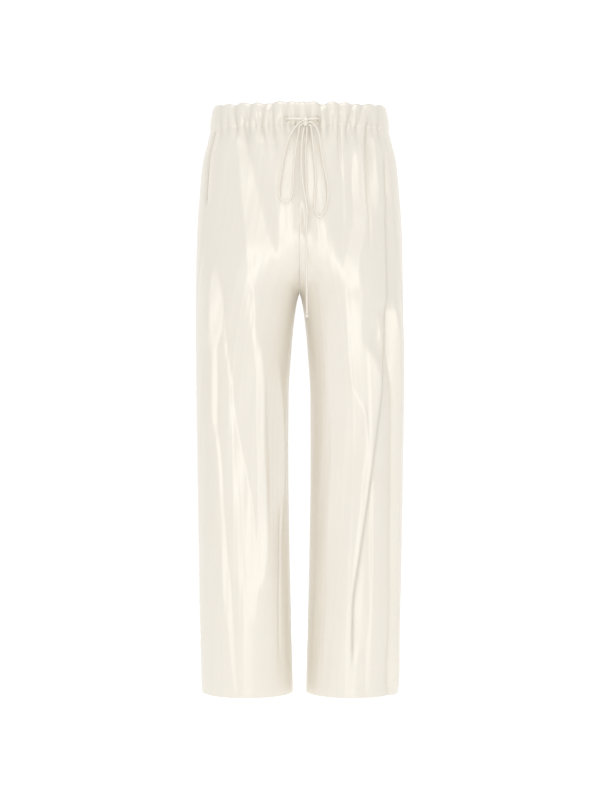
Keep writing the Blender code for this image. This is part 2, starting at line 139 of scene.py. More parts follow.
# Bands of the front, in millimetres: rows of height, and the left and right edge of the band as the
# viewer sees them. facing is the side that the band turns to, in degrees outward from the front. A
# band at 0 shines in the light, and one that turns away from it looks deeper.
Band = namedtuple("Band", "panel facing rows")
BANDS = (
    Band("front_right", 0, (
        (-24, -115, -110), (-68, -110, -99), (-95, -107, -86), (-140, -105, -78), (-194, -99, -65),
        (-222, -97, -59), (-252, -92, -43), (-276, -68, -32))),
    Band("front_right", 0, (
        (-150, -34, -29), (-212, -35, -25), (-252, -46, -26))),
    Band("front_right", 0, (
        (-225, -97, -84), (-285, -93, -86), (-339, -91, -82), (-392, -88, -80), (-432, -81, -71),
        (-498, -78, -67), (-605, -76, -66), (-690, -75, -63), (-770, -73, -61))),
    Band("front_right", 0, ((-24, -81, -71), (-60, -77, -73))),
    Band("front_right", 0, ((-24, -64, -50), (-50, -61, -48), (-68, -56, -46), (-92, -51, -45))),
    Band("front_right", 0, ((-160, -24, -18), (-212, -19, -14), (-258, -15, -8), (-290, -9, -5))),
    Band("front_right", 0, (
        (-268, -157, -154), (-303, -158, -148), (-339, -160, -140), (-393, -160, -142),
        (-430, -158, -151), (-551, -158, -151), (-605, -151, -145), (-658, -146, -140),
        (-710, -144, -138), (-799, -141, -131), (-864, -138, -124), (-918, -133, -121),
        (-955, -127, -119), (-998, -124, -117), (-1070, -117, -108))),
    Band("front_right", 0, (
        (-365, -144, -139), (-419, -139, -134), (-498, -128, -123), (-565, -125, -116),
        (-605, -122, -106), (-647, -113, -91), (-683, -108, -77), (-755, -104, -61),
        (-799, -100, -61), (-839, -97, -64), (-882, -93, -77), (-935, -90, -82))),
    Band("front_right", 24, (
        (-95, -80, -58), (-122, -74, -46), (-194, -60, -40), (-240, -48, -38), (-268, -44, -40))),
    Band("front_right", 28, ((-40, -138, -118), (-130, -136, -110), (-210, -128, -102))),
    Band("front_right", 23, (
        (-290, -132, -93), (-339, -131, -91), (-392, -132, -88), (-432, -130, -81),
        (-498, -122, -78), (-565, -115, -77), (-605, -105, -76), (-655, -93, -75),
        (-700, -84, -75), (-760, -79, -75), (-830, -78, -76))),
    Band("front_right", -25, (
        (-400, -68, -46), (-500, -62, -38), (-640, -56, -34), (-800, -54, -36))),
    Band("front_left", 0, ((-19, 67, 71), (-68, 73, 78), (-109, 78, 82), (-222, 81, 86))),
    Band("front_left", 0, (
        (-50, 99, 110), (-90, 97, 115), (-122, 97, 119), (-165, 99, 120), (-198, 98, 119),
        (-240, 88, 113), (-285, 81, 106), (-339, 86, 112), (-412, 87, 114), (-436, 87, 132),
        (-471, 89, 144), (-498, 97, 146), (-520, 111, 146), (-542, 124, 145), (-605, 124, 138),
        (-658, 115, 129), (-710, 111, 122), (-799, 100, 109), (-851, 93, 100), (-944, 85, 93),
        (-1070, 81, 91))),
    Band("front_left", 0, ((-28, 127, 133), (-86, 129, 138), (-140, 129, 142), (-190, 131, 140))),
    Band("front_left", 0, ((-45, 155, 162), (-104, 157, 167), (-172, 160, 169))),
    Band("front_left", 0, ((-365, 143, 148), (-412, 140, 149), (-440, 134, 149))),
    Band("front_left", 0, (
        (-330, 163, 171), (-393, 163, 174), (-450, 166, 176), (-520, 171, 178), (-710, 170, 176),
        (-879, 169, 174), (-1070, 164, 171))),
    Band("front_left", 0, (
        (-640, 130, 136), (-710, 127, 134), (-882, 128, 133), (-931, 126, 132), (-973, 121, 130),
        (-1070, 120, 129))),
    Band("front_left", 0, ((-196, 35, 49), (-222, 36, 48), (-246, 39, 44))),
    Band("front_left", 26, ((-60, 84, 95), (-110, 84, 95), (-200, 88, 96))),
    Band("front_left", 22, (
        (-50, 44, 64), (-120, 46, 74), (-200, 52, 78), (-240, 60, 76), (-290, 69, 73))),
    Band("front_left", -14, ((-150, 6, 28), (-200, 6, 33), (-262, 8, 37))),
    Band("front_left", -18, (
        (-270, 50, 80), (-420, 52, 86), (-498, 54, 96), (-542, 56, 120), (-605, 58, 124),
        (-658, 56, 115), (-710, 54, 111), (-799, 50, 100), (-900, 44, 86))),
)

# Folds of the back and soft troughs of the front, in millimetres. path is (z, x) from the top of the
# fold to its foot, width is the half width of the soft ridge along the cloth, and height is below 0
# for a trough. lean above 0 makes the ridge steeper on its outer side.
Fold = namedtuple("Fold", "panel width height lean path")
FOLDS = (
    Fold("back_right", 14, 3.5, 0, ((-30, -60), (-130, -68), (-235, -72))),
    Fold("back_right", 10, -4, 0, ((-90, -110), (-300, -120), (-560, -118))),
    Fold("back_right", 13, 4.5, 0.3, ((-350, -80), (-700, -92), (-1090, -84))),
    Fold("back_right", 10, 4.2, -0.3, ((-440, -150), (-740, -138), (-1090, -128))),
    Fold("back_right", 8, -3.5, 0, ((-500, -55), (-800, -64), (-1090, -58))),
    Fold("back_left", 13, 3.5, 0, ((-40, 95), (-140, 88), (-240, 90))),
    Fold("back_left", 9, -4, 0, ((-110, 55), (-230, 62), (-400, 66))),
    Fold("back_left", 13, 5, 0.3, ((-340, 100), (-680, 110), (-1090, 98))),
    Fold("back_left", 10, 3.6, 0, ((-480, 152), (-760, 148), (-1090, 140))),
    Fold("back_left", 9, -3.5, 0, ((-460, 72), (-760, 78), (-1090, 70))),
    Fold("front_left", 3.4, -2.8, 0, ((-30, 121), (-122, 124), (-260, 128))),
    Fold("front_right", 3.4, -2.2, 0, ((-700, -38), (-846, -37), (-1009, -36))),
    Fold("front_right", 10, -3, 0, ((-20, 0), (-120, 0), (-262, 0))),
    Fold("front_left", 10, -3, 0, ((-20, 0), (-120, 0), (-262, 0))),
)

# Lines on which the cloth of the front folds over itself, in millimetres: it drops on the outer side
# of the path of (z, x), and comes back slowly.
Overlap = namedtuple("Overlap", "panel drop path")
OVERLAPS = (
    Overlap("front_left", 4.2, (
        (-60, 153), (-194, 157), (-339, 160), (-419, 157), (-498, 149), (-605, 136), (-710, 123),
        (-799, 110), (-904, 96), (-1010, 95))),
)

# An overlap drops within the wall's width and comes back over the return. The painted shades say how
# much of the painted shade colour an overlap, the deepest crease and the pocket mouth have: shade painted
# into the satin's colour where it lies deep.
OVERLAP_WALL, OVERLAP_RETURN = 0.0038, 0.024
OVERLAP_PAINTED_SHADE, CREASE_PAINTED_SHADE, POCKET_PAINTED_SHADE = 0.30, 0.30, 1.0

# A band turns within its edge, at most by its turn in radians. One that faces the light fades out over
# its end, and one that turns away over a third of its length. What the bands add up to is levelled over
# the spread. The make-up gives back the slope that this takes away: all of it and a little more in the
# bands that face the light, and half in the others. The row reach evens out the step between two rows.
BAND_EDGE, BAND_TURN, BAND_END, BAND_SPREAD = 0.0030, 0.9, 0.030, 0.048
FACED_MAKE_UP, TURNED_MAKE_UP = 1.1, 0.5
BAND_ROW_REACH, BAND_SEAM_EASE = 0.009, 0.012

# Where shapes fade out: folds at their ends, and all of them at the seams. Below the top of the fork
# zone each leg has an inner side of its own.
FOLD_EASE = 0.055
PAST_HEM = 0.01
FORK_ZONE_TOP = -0.200
FORK_ZONE_EASE = 0.03
INNER_SEAM_EASE = 0.035
SIDE_SEAM_EASE = 0.018
RIPPLE_SEAM_EASE = 0.02

# The grids of cloth. A bias above 1 sets more rows near the waist, and the tuck is how far a leg panel
# goes up inside the casing. The leg's axis is its distance from the middle.
LEG_COLUMNS, LEG_ROWS, ROW_BIAS = 186, 220, 1.4
CASING_COLUMNS, CASING_ROWS = 420, 44
TUCK, TUCK_INSET = 0.0030, 0.0012
LEG_AXIS = 0.09

# The turn from the seat to the legs is evened out between these heights, over the reach.
LEVEL_REACH = 0.045
LEVEL_TOP, LEVEL_TOP_EASE = -0.09, 0.08
LEVEL_FOOT, LEVEL_FOOT_EASE = -0.56, 0.10
LEVEL_SEAM_EASE = 0.05

# A crease that goes over the casing's top edge keeps most of its depth on the way up. Each grows
# wider and softer away from the casing's seam.
CREASE_OVER_EDGE = 0.02
CREASE_LOSS_UP = 0.35
CREASE_RUN_OUT = 0.010
CREASE_SPREAD_UP, CREASE_SPREAD_DOWN = 0.4, 1.8
CREASE_SOFT, CREASE_SOFT_GAIN = 0.25, 0.9
CREASE_DEEPEST = 0.0046

# Ripples of the satin: how many, their length across and down the cloth, and the gain by which the
# wider ones of a set stand higher. A set without a gain has ripples of one height.
RippleSet = namedtuple("RippleSet", "count across down gain")
RIPPLE_SETS = (
    RippleSet(14, (0.026, 0.090), (0.18, 0.60), None),
    RippleSet(12, (0.009, 0.020), (0.25, 0.70), 26),
)
RIPPLE_SEED = {"front": 11, "back": 23}

# Lengths of the puckers along the side seam, of their drift and of their change in height. Then the
# grooves of the seams, the slot and lip of the pocket mouth, and the width of the shade painted into the
# slot.
PUCKER, FINE_PUCKER = 0.0165, 0.0098
PUCKER_DRIFT, FINE_PUCKER_DRIFT = 0.071, 0.043
PUCKER_CHANGE = 0.113
PUCKER_FROM_SEAM, PUCKER_WIDTH = 0.005, 0.006
GROOVE_DEPTH = 0.0006
SIDE_GROOVE, INNER_GROOVE = 0.0014, 0.0012
POCKET_TOP, POCKET_TOP_EASE = -0.026, 0.01
POCKET_FOOT, POCKET_FOOT_EASE = -0.165, 0.02
LIP_HEIGHT, LIP_FROM_SEAM, LIP_WIDTH = 0.0034, 0.0070, 0.0045
SLOT_DEPTH, SLOT_WIDTH, SLOT_PAINTED_SHADE_WIDTH = 0.0120, 0.0042, 0.0036

# The cloth stands out a little near the casing, and is drawn in along the casing's seam and the top
# of the hem.
FULLNESS = 0.0020
FULLNESS_FOOT, FULLNESS_EASE = -0.11, 0.07
CASING_LINE, CASING_LINE_WIDTH = 0.0002, 0.0040
HEM_LINE, HEM_LINE_WIDTH = 0.0003, 0.0025

# The hem's turn: how far in it goes, where it starts, its rows (above the hem, share of the way in),
# and the rows of the turned-up layer.
HEM_TURN, TURN_START = 0.0016, 0.0008
TURN_ROWS = ((0.0002, 0.2), (0.0, 0.5), (0.0003, 0.85))
LAYER_START, LAYER_ROWS = 0.002, 10

# Small wrinkles of the casing: the limits between which x, slant, top, foot, height and width are
# drawn, in this order.
WRINKLES_A_PANEL = 26
WRINKLE_SEED = {"front": 5, "back": 8}
WRINKLE_LIMITS = in_metres(((4, 150), (-6, 6), (-5, 23), (-24, -6), (-1.3, 0.9), (2.2, 4.8)))

# The gathers lift the casing's top edge where they stand out, and are weaker on its inner layer.
SCALLOP_START, SCALLOP_EASE = 0.002, 0.018
CREST_HEIGHT, CREST_BASE = 0.003, 0.4
INNER_LAYER_START, INNER_LAYER_EASE = 0.0005, 0.0020
INNER_LAYER_LOSS = 0.35

# The casing's own outline in millimetres, from its seam up the outside, over the top edge and down the
# inside: z, and how far it stands out from the leg panels' face.
CASING_OUTLINE = (
    (-24, -3), (-22.2, -1), (-20.5, 0.6), (-17.5, 1.2), (-12.5, 2), (-3, 2.6), (6, 2.2),
    (14, 1.4), (19, 0.4), (20.8, -0.9), (19.6, -2.2), (14, -2.8), (0, -3.2), (-15, -3), (-21.5, -2.6),
)

# The drawstring's knot, leads and strands, as the frame has them.
KNOT_CENTRE, KNOT_HALF = middle_and_half("drawstring_knot")
KNOT_ROUNDING = 0.0026
STRAND_GAP = 0.0003
LEAD_ON_KNOT, LEAD_INSIDE_CASING = 0.0052, 0.004
CORD_STEP, CORD_UNEVENNESS = 0.0022, 0.06
CORD_FALL_FROM_KNOT = 0.045
CORD_LIFT_AT_CASING, CORD_LIFT_FADE_TOP = 0.0052, -0.022
CORD_LIFT_BELOW, CORD_LIFT_FADE_END = 0.0022, -0.17

# The core and the wraps as shares of the knot's box, and the wraps' thickness as a share of the cord's.
# Each wrap has its height from the knot's middle and its tilt. Lobes swell and draw in the round form.
KNOT_CORE = (0.86, 0.80, 0.90)
KNOT_LOBE = 0.07
WRAP_WIDTH, WRAP_DEPTH, WRAP_THICKNESS = 0.92, 0.78, 0.95
WRAPS = (("knot_wrap_top", 0.0026, 0.30), ("knot_wrap_low", -0.0026, 0.22))
WRAP_STEPS = 32
END_KNOT_SHARE = 0.92
END_KNOT_LOBE = 0.12

# The stitches of a buttonhole: points round it, their smaller radius, and how squarely its long sides
# end.
BUTTONHOLE_STEPS = 96
STITCH_DIP = 0.78
BUTTONHOLE_SQUARENESS = 3.0

# Each strand leaves a face of the knot at a place beside that face's middle. A loop comes back to one.
# layer counts the strands that it hangs in front of, and route is (x, z).
Strand = namedtuple("Strand", "layer start end route")
STRANDS = {
    "drawstring_loop_right": Strand(0, ("right", -0.0006), ("right", -0.0056), (
        (-0.0060, -0.0262), (-0.0165, -0.0420), (-0.0245, -0.0650), (-0.0305, -0.0930),
        (-0.0350, -0.1230), (-0.0368, -0.1430), (-0.0340, -0.1570), (-0.0250, -0.1630),
        (-0.0160, -0.1575), (-0.0120, -0.1420), (-0.0110, -0.1150), (-0.0085, -0.0850),
        (-0.0050, -0.0560), (-0.0018, -0.0390), (-0.0004, -0.0300))),
    "drawstring_loop_left": Strand(0, ("left", 0.0000), ("left", -0.0054), (
        (0.0285, -0.0262), (0.0345, -0.0400), (0.0385, -0.0650), (0.0440, -0.1000),
        (0.0500, -0.1300), (0.0512, -0.1550), (0.0460, -0.1790), (0.0365, -0.1900),
        (0.0285, -0.1800), (0.0268, -0.1580), (0.0288, -0.1250), (0.0275, -0.0900),
        (0.0240, -0.0600), (0.0223, -0.0400), (0.0212, -0.0305))),
    "drawstring_end_long": Strand(0, ("bottom", 0.0026), None, (
        (0.0126, -0.0450), (0.0110, -0.0750), (0.0116, -0.1200), (0.0126, -0.1800),
        (0.0122, -0.2300), (0.0128, -0.2900), (0.0132, -0.3650))),
    "drawstring_end_short": Strand(1, ("bottom", -0.0026), None, (
        (0.0056, -0.0450), (0.0032, -0.0750), (0.0040, -0.1100), (0.0075, -0.1400),
        (0.0125, -0.1700), (0.0150, -0.1870))),
}

# The satin's clouds of colour and gloss, the fine floats that run down it, and the thread's twist.
CLOUD_SCALE, CLOUD_GLOSS = 7.0, 0.06
FLOATS_ACROSS, FLOATS_DOWN = 900.0, 40.0
FLOAT_GLOSS, FLOAT_BUMP, FLOAT_HEIGHT = 0.10, 0.06, 0.0004
CORD_FLOATS = 1.6
TWIST_SCALE, TWIST_GLOSS, TWIST_DARK = 2400.0, 0.2, 0.86
THREAD_ROUGHNESS = 0.5
SATIN_SOCKETS = {
    "Specular IOR Level": 0.4,
    "Metallic": 0.22,
    "Sheen Weight": 0.04,
    "Sheen Roughness": 0.35,
}

# The studio, with a sensor width in millimetres. Each soft box has its place, size and power in watts.
SENSOR_WIDTH = 36.0
SURROUND_COLOUR = (1.0, 0.995, 0.985, 1.0)
SOFT_BOXES = {
    "front": ((0.0, -4.2, -0.25), (0.6, 2.3), 10.5),
    "back": ((0.0, 3.8, -0.25), (0.6, 2.3), 8.0),
    "top": ((0.0, -1.6, 2.4), (2.4, 1.2), 19.0),
}
LIGHTS_AIM_AT = (0.0, 0.0, -0.5)
PAPER_SOCKETS = {
    "Base Color": (0.94, 0.94, 0.935, 1.0),
    "Roughness": 0.9,
    "Emission Color": (1.0, 1.0, 0.995, 1.0),
    "Emission Strength": 0.22,
}


class ClothSizes(bpy.types.PropertyGroup):
    thickness: bpy.props.FloatProperty(
        name="Cloth", description="Thickness of one layer of satin", default=0.0006, unit="LENGTH")
    hem_depth: bpy.props.FloatProperty(
        name="Hem", description="Depth of the turned-up hem", default=0.045, unit="LENGTH")
    ripple: bpy.props.FloatProperty(
        name="Ripple", description="Height of the satin's long soft ripples", default=0.0003,
        unit="LENGTH")
    pucker: bpy.props.FloatProperty(
        name="Pucker", description="Height of the puckers along the seams", default=0.0004,
        unit="LENGTH")
    scallop: bpy.props.FloatProperty(
        name="Scallop", description="How far the gathers lift the top edge", default=0.0040,
        unit="LENGTH")


class SatinFinish(bpy.types.PropertyGroup):
    colour: bpy.props.FloatVectorProperty(
        name="Satin", description="Colour of the satin", default=(0.895, 0.855, 0.785),
        subtype="COLOR", size=3)
    deep_colour: bpy.props.FloatVectorProperty(
        name="Deep satin", description="Colour of the satin where it looks deeper",
        default=(0.875, 0.828, 0.740), subtype="COLOR", size=3)
    # Painted shade: the colour towards which creases, overlaps and the pocket slot are darkened.
    painted_shade_colour: bpy.props.FloatVectorProperty(
        name="Shaded satin", description="Colour of the satin deep in a crease or a slot",
        default=(0.46, 0.43, 0.375), subtype="COLOR", size=3)
    thread_colour: bpy.props.FloatVectorProperty(
        name="Thread", description="Colour of the sewing thread", default=(0.80, 0.75, 0.65),
        subtype="COLOR", size=3)
    roughness: bpy.props.FloatProperty(
        name="Roughness", description="Roughness of the satin face", default=0.34)


class CordSizes(bpy.types.PropertyGroup):
    radius: bpy.props.FloatProperty(
        name="Cord radius", description="Radius of the drawstring", default=0.00175, unit="LENGTH")


class StudioSizes(bpy.types.PropertyGroup):
    distance: bpy.props.FloatProperty(
        name="Distance", description="From the camera to the trousers", default=3.6, unit="LENGTH")
    lens: bpy.props.FloatProperty(
        name="Lens", description="Focal length in millimetres", default=87.3)
    eye_height: bpy.props.FloatProperty(
        name="Eye height", description="Height of the camera from the waist", default=-0.520,
        unit="LENGTH")
    floor: bpy.props.FloatProperty(
        name="Floor", description="Height of the floor from the waist", default=-1.40,
        unit="LENGTH")
    surround: bpy.props.FloatProperty(
        name="Surround", description="Strength of the light from all round", default=0.76)


def ease(value):
    """0 below 0, 1 above 1, and a smooth step between."""
    t = np.clip(value, 0.0, 1.0)
    return t * t * (3 - 2 * t)


def bell(distance, width):
    """1 at no distance, and less and less past the width."""
    return np.exp(-((distance / width) ** 2))


def closeness(places, reach):
    """How much each place counts at every other one."""
    return bell(places[:, None] - places[None, :], reach)


def smooth_through(places, values, at):
    """The values at `at` on a smooth curve through the given places, with no overshoot."""
    order = np.argsort(places)
    x, y = np.asarray(places, float)[order], np.asarray(values, float)[order]
    widths = np.diff(x)
    slopes = np.diff(y) / widths
    together = slopes[:-1] * slopes[1:] > 0
    total = np.where(together, slopes[:-1] + slopes[1:], 1.0)
    inside = np.where(together, 2 * slopes[:-1] * slopes[1:] / total, 0.0)
    tangents = np.concatenate([slopes[:1], inside, slopes[-1:]])
    at = np.clip(at, x[0], x[-1])
    span = np.clip(np.searchsorted(x, at, side="right") - 1, 0, len(widths) - 1)
    width = widths[span]
    t = (at - x[span]) / width
    return (
        y[span] * (1 + 2 * t) * (1 - t) ** 2
        + y[span + 1] * t * t * (3 - 2 * t)
        + tangents[span] * width * t * (1 - t) ** 2
        - tangents[span + 1] * width * t * t * (1 - t)
    )


def level(name, z):
    return smooth_through([row.z for row in SECTIONS], [getattr(row, name) for row in SECTIONS], z)


def path_at(path, z):
    """The x of a path of (z, x) at this height."""
    return float(smooth_through([p[0] for p in path], [p[1] for p in path], z))


class Form:
    """The plain form of one panel on a grid of rows (z) and columns (across, from the inner seam
    at 0 to the side seam at 1): its points, its outward directions and the distances along it. What
    is laid on it goes into height, and into painted_shade: how much shade is painted into the satin's
    colour where it lies deep."""

    def __init__(self, panel, z, across):
        self.half, side_name = panel.split("_")
        self.panel = panel
        self.side = -1 if side_name == "right" else 1
        self.z = np.asarray(z, float)
        self.across = np.asarray(across, float)
        rows = {name: level(name, self.z)[:, None] for name in ("outer", "inner", "front", "back")}
        half_width = (rows["outer"] - rows["inner"]) / 2
        middle = (rows["outer"] + rows["inner"]) / 2
        inner = np.arccos(np.clip(-middle / half_width, -1.0, 1.0))
        ahead = smooth_through([p.z for p in SIDE_SEAM], [p.ahead_deg for p in SIDE_SEAM], self.z)
        side_seam = np.radians(ahead)[:, None]
        start = inner if self.half == "front" else -inner
        self.angle = start + (side_seam - start) * self.across[None, :]
        depth = np.where(self.angle > 0, rows["front"], rows["back"])
        self.x = middle + half_width * np.cos(self.angle)
        self.y = -depth * np.sin(self.angle)
        self.soften_levels()
        out_x = np.cos(self.angle) / half_width
        out_y = -np.sin(self.angle) / depth
        length = np.hypot(out_x, out_y)
        self.out = np.stack([self.side * out_x / length, out_y / length], axis=-1)
        self.arc = self.distances()
        self.height = np.zeros_like(self.x)
        self.painted_shade = np.zeros_like(self.x)

    def distances(self):
        """How far each point lies along its row from the row's start."""
        steps = np.hypot(np.diff(self.x, axis=1), np.diff(self.y, axis=1))
        return np.concatenate([np.zeros((len(self.z), 1)), np.cumsum(steps, axis=1)], axis=1)

    def soften_levels(self):
        """Evens out the turn from the seat to the legs, but for the inner seam and what is near it."""
        near = closeness(self.z, LEVEL_REACH) * np.abs(np.gradient(self.z))
        near /= near.sum(axis=1, keepdims=True)
        below_top = ease((LEVEL_TOP - self.z) / LEVEL_TOP_EASE)
        above_foot = ease((self.z - LEVEL_FOOT) / LEVEL_FOOT_EASE)
        share = (above_foot * below_top)[:, None] * ease(self.distances() / LEVEL_SEAM_EASE)
        self.x = self.x * (1 - share) + (near @ self.x) * share
        self.y = self.y * (1 - share) + (near @ self.y) * share

    def place_on(self, row, x):
        """The distance along a row of the place at x, which is below 0 past the middle."""
        turn = int(np.argmax(self.x[row])) + 1
        along = np.interp(abs(x), self.x[row][:turn], self.arc[row][:turn])
        return along if x * self.side > 0 else -along

    def lay(self, path, width, height, lean, fade):
        """Adds a ridge, or a trough where height is below 0, along a path of (z, x)."""
        top, foot = path[0][0], path[-1][0]
        for row, z in enumerate(self.z):
            if not foot < z <= top:
                continue
            x = path_at(path, z)
            if x * self.side < 0 and z < FORK_ZONE_TOP:
                continue
            distance = self.arc[row] - self.place_on(row, x)
            distance = distance * np.where(distance > 0, 1 + lean, 1 - lean)
            self.height[row] += height * fade(z, top, foot) * bell(distance, width)

    def lay_overlap(self, path, drop):
        """Lowers the cloth on the outer side of a path of (z, x) by a steep little wall."""
        top, foot = path[0][0], path[-1][0]
        for row in np.flatnonzero((self.z > foot) & (self.z <= top)):
            past = self.arc[row] - self.place_on(row, path_at(path, self.z[row]))
            wall = ease(past / OVERLAP_WALL + 0.5)
            back = bell(np.maximum(past, 0.0), OVERLAP_RETURN)
            fade = hanging_fade(self.z[row], top, foot)
            self.height[row] -= drop * fade * wall * back
            # Painted shade along the overlap's wall.
            self.painted_shade[row] += OVERLAP_PAINTED_SHADE * fade * bell(past, OVERLAP_WALL)

    def face_bands(self):
        """Turns each band of this panel to its side. The cloth between the bands makes up for it."""
        facing = np.arctan2(self.side * self.out[..., 0], -self.out[..., 1])
        slope = np.zeros_like(self.height)
        inside = np.zeros_like(self.height)
        for band in BANDS:
            if band.panel != self.panel:
                continue
            rows = in_metres(band.rows)
            places = [row[0] for row in rows]
            edges = [sorted(abs(x) for x in row[1:]) for row in rows]
            near = smooth_through(places, [pair[0] for pair in edges], self.z)
            far = smooth_through(places, [pair[1] for pair in edges], self.z)
            fade, make_up = (places[0] - places[-1]) / 3, TURNED_MAKE_UP
            if not band.facing:
                fade, make_up = min(fade, BAND_END), FACED_MAKE_UP
            shown = ease((places[0] - self.z) / fade) * ease((self.z - places[-1]) / fade)
            for row in np.flatnonzero(shown):
                start, end = (self.place_on(row, self.side * x[row]) for x in (near, far))
                into = ease((self.arc[row] - start) / BAND_EDGE + 0.5)
                share = shown[row] * into * ease((end - self.arc[row]) / BAND_EDGE + 0.5)
                turned = np.clip(facing[row] - math.radians(band.facing), -BAND_TURN, BAND_TURN)
                slope[row] = slope[row] * (1 - share) + share * np.tan(turned)
                inside[row] = np.maximum(inside[row], share * make_up)
        rise = self.rise_of(slope)
        reached = np.array([np.gradient(*pair) for pair in zip(rise, self.arc)])
        rise = self.rise_of(slope + inside * (slope - reached))
        near = closeness(self.z, BAND_ROW_REACH) * np.abs(np.gradient(self.z))
        rise = (near @ rise) / near.sum(axis=1, keepdims=True)
        self.height += rise * ease(self.arc / BAND_SEAM_EASE)

    def rise_of(self, slope):
        """The height that a slope adds up to across the panel, less its own wide average."""
        steps = np.diff(self.arc, axis=1)
        middle = (slope[:, 1:] + slope[:, :-1]) / 2
        rise = np.concatenate([np.zeros((len(self.z), 1)), np.cumsum(middle * steps, axis=1)], axis=1)
        for row in range(len(self.z)):
            near = closeness(self.arc[row], BAND_SPREAD)
            rise[row] -= near @ rise[row] / near.sum(axis=1)
        return rise

    def flatten_at_seams(self):
        """Folds die out at the side seam, and below the seat at the inner seam too."""
        below = ease((FORK_ZONE_TOP - self.z) / FORK_ZONE_EASE)[:, None]
        self.height *= 1 - below * (1 - ease(self.arc / INNER_SEAM_EASE))
        self.height *= ease((self.arc[:, -1:] - self.arc) / SIDE_SEAM_EASE)

    def points(self, inset=0.0, lift=0.0):
        """The points of the grid. inset and lift hold a value for each row, or for each point."""
        away = self.height - inset
        x = self.side * self.x + self.out[..., 0] * away
        y = self.y + self.out[..., 1] * away
        z = np.broadcast_to(self.z[:, None], x.shape) + lift
        return np.stack([x, y, z], axis=-1)


def hanging_fade(z, top, foot):
    """A fold fades in at its top, and at its foot unless it runs on past the hem."""
    fade_in = ease((top - z) / FOLD_EASE)
    return fade_in if foot < HEM - PAST_HEM else fade_in * ease((z - foot) / FOLD_EASE)


def arched_fade(z, top, foot):
    """A wrinkle is highest in its middle."""
    return math.sin(math.pi * min((top - z) / (top - foot), 1.0))


def creases_of(half):
    """The creases of the front as listed, and those of the back by an uneven rule."""
    if half == "front":
        return FRONT_CREASES
    rows = []
    for side in (-1, 1):
        for i in range(BACK_CREASES_A_HALF):
            uneven = math.sin(2.7 * i + 1.3 * side)
            long = i % 2 == 0
            rows.append(Crease(
                x=side * (0.0060 + 0.0119 * i + 0.0024 * uneven),
                depth=0.0042 + 0.0006 * uneven if long else 0.0028,
                width=0.0040 + 0.0005 * math.sin(4.1 * i),
                top=0.0230 if long else 0.0120,
                lean_up=0.0040 * math.sin(1.9 * i + side),
                foot=(-0.100 if long else -0.058) - 0.022 * math.sin(3.3 * i + side),
                lean_down=side * 0.0030 + 0.0040 * uneven))
    return tuple(rows)


def lay_creases(form):
    for crease in creases_of(form.half):
        for row, z in enumerate(form.z):
            if not crease.foot < z < crease.top + CREASE_RUN_OUT:
                continue
            above = z > CASING_SEAM
            reach = (crease.top if above else crease.foot) - CASING_SEAM
            way = max((z - CASING_SEAM) / reach, 0.0)
            x = crease.x + (crease.lean_up if above else crease.lean_down) * way
            full = above and crease.top > CREASE_OVER_EDGE
            strength = 1 - CREASE_LOSS_UP * way if full else 1 - float(ease(way))
            spread = crease.width * (1 + (CREASE_SPREAD_UP if above else CREASE_SPREAD_DOWN) * way)
            soft = spread * (CREASE_SOFT + CREASE_SOFT_GAIN * way)
            distance = form.arc[row] - form.place_on(row, x)
            distance = np.sqrt(distance**2 + soft**2) - soft
            dip = max(strength, 0.0) * np.exp(-distance / spread)
            form.height[row] -= crease.depth * CREASE_SHARE * dip
            # Painted shade in the crease, more in the deeper ones.
            form.painted_shade[row] += CREASE_PAINTED_SHADE * crease.depth / CREASE_DEEPEST * dip**2


def lay_ripples(form, size):
    """Long, soft, uneven ripples that run down the cloth."""
    draw = np.random.default_rng(RIPPLE_SEED[form.half])
    along = (form.arc[:, -1:] - form.arc) * form.side
    z = form.z[:, None]
    total = np.zeros_like(form.height)
    for ripples in RIPPLE_SETS:
        for _ in range(ripples.count):
            across_length = draw.uniform(*ripples.across)
            down_length = draw.uniform(*ripples.down)
            phase = draw.uniform(0, 2 * math.pi)
            wave = np.sin(2 * math.pi * (along / across_length + z / down_length) + phase)
            total += ripples.gain * across_length * wave if ripples.gain else wave
    form.height += size * total / math.sqrt(RIPPLE_SETS[0].count)


def waves(z, length, phase=0.0):
    return np.sin(2 * math.pi * z / length + phase)


def lay_puckers(form, size):
    """Short crosswise puckers that a satin seam draws, strongest right at the seam, and the right
    side's pocket mouth, with shade painted into its slot."""
    z = form.z[:, None]
    shift = 1.6 * waves(z, PUCKER_DRIFT) + 1.1 * waves(z, FINE_PUCKER_DRIFT, 0.7)
    wave = waves(z, PUCKER, shift) + 0.6 * waves(z, FINE_PUCKER, -shift)
    uneven = 0.6 + 0.4 * waves(z, PUCKER_CHANGE, form.side)
    from_side = form.arc[:, -1:] - form.arc
    below_top = ease((POCKET_TOP - z) / POCKET_TOP_EASE)
    mouth = below_top * ease((z - POCKET_FOOT) / POCKET_FOOT_EASE) * (form.side < 0)
    at_side = bell(from_side - PUCKER_FROM_SEAM, PUCKER_WIDTH)
    form.height += size * wave * uneven * at_side * (1 - 0.75 * mouth)
    form.height -= GROOVE_DEPTH * (bell(from_side, SIDE_GROOVE) + 0.4 * bell(form.arc, INNER_GROOVE))
    lip = LIP_HEIGHT * bell(from_side - LIP_FROM_SEAM, LIP_WIDTH) * ease(from_side / 0.005)
    slot = SLOT_DEPTH * bell(from_side, SLOT_WIDTH)
    form.height += mouth * (lip * (form.half == "front") - slot)
    # Painted shade in the pocket mouth's slot.
    form.painted_shade += POCKET_PAINTED_SHADE * mouth * bell(from_side, SLOT_PAINTED_SHADE_WIDTH)


